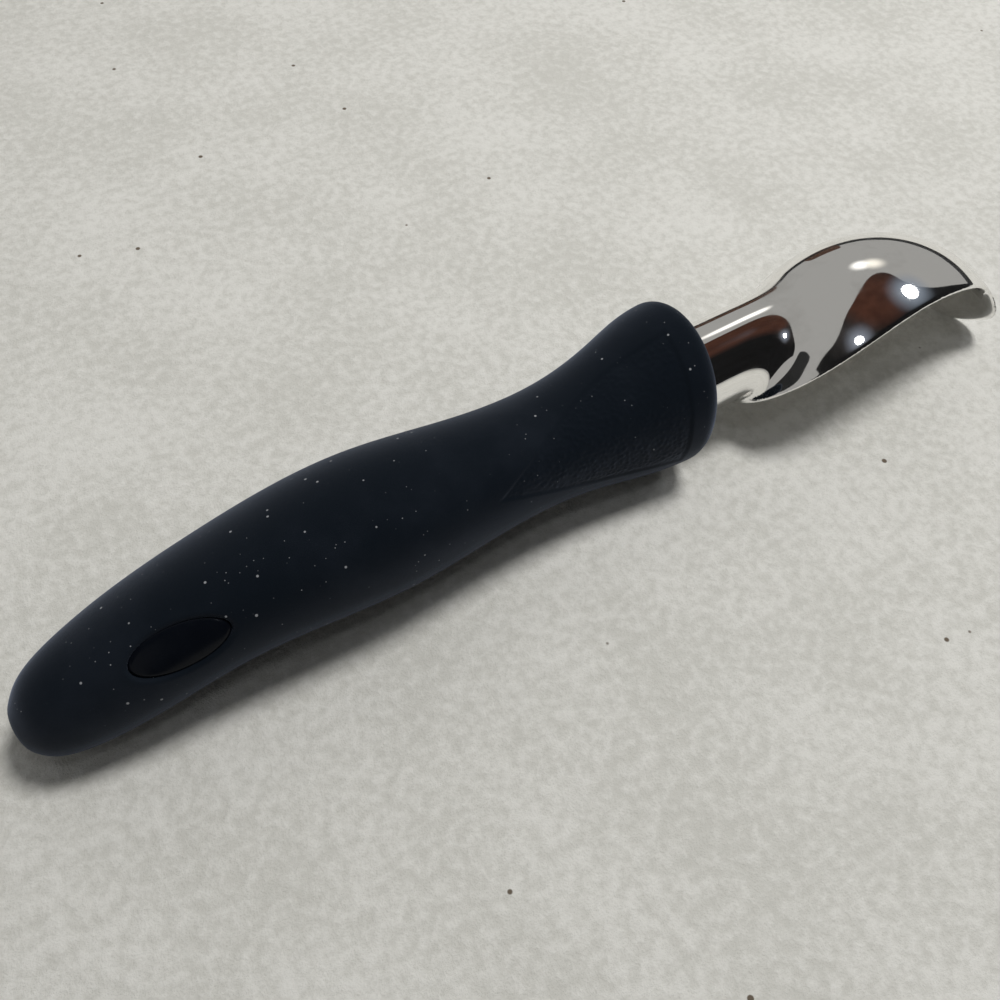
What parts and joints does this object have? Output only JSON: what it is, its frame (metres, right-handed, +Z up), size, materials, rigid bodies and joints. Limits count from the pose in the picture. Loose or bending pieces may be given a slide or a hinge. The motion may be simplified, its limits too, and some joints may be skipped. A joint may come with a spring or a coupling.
{
  "type": "ice cream scoop",
  "caption": "One-piece polished metal ice cream scoop with a beaked half-egg bowl, round neck and a long swelling soft rubber grip; nothing moves.",
  "frame": {"origin": "on the table, under the middle of the scoop's box", "axes": "+X from the end of the grip to the tip of the bowl, +Z up from the table. The scoop lies as it rests: hollow down and rolled 40 degrees, so that the end of the grip, one side of the rim and the tip of the bowl touch the table."},
  "size_m": [0.215, 0.0346, 0.0317],
  "materials": {
    "polished_metal": "mirror polished plating on a metal casting",
    "core_plastic": "hard moulded core, hidden",
    "pin_steel": "hidden cross pins",
    "grip_rubber": "soft matt overmoulding, grained at the sides of the collar",
    "badge_plastic": "smooth satin oval, bare"
  },
  "bodies": {
    "root": {"scoop_head": "polished_metal", "handle_core": "core_plastic", "tang_pins": "pin_steel", "soft_grip": "grip_rubber", "oval_badge": "badge_plastic"}
  },
  "joints": []
}
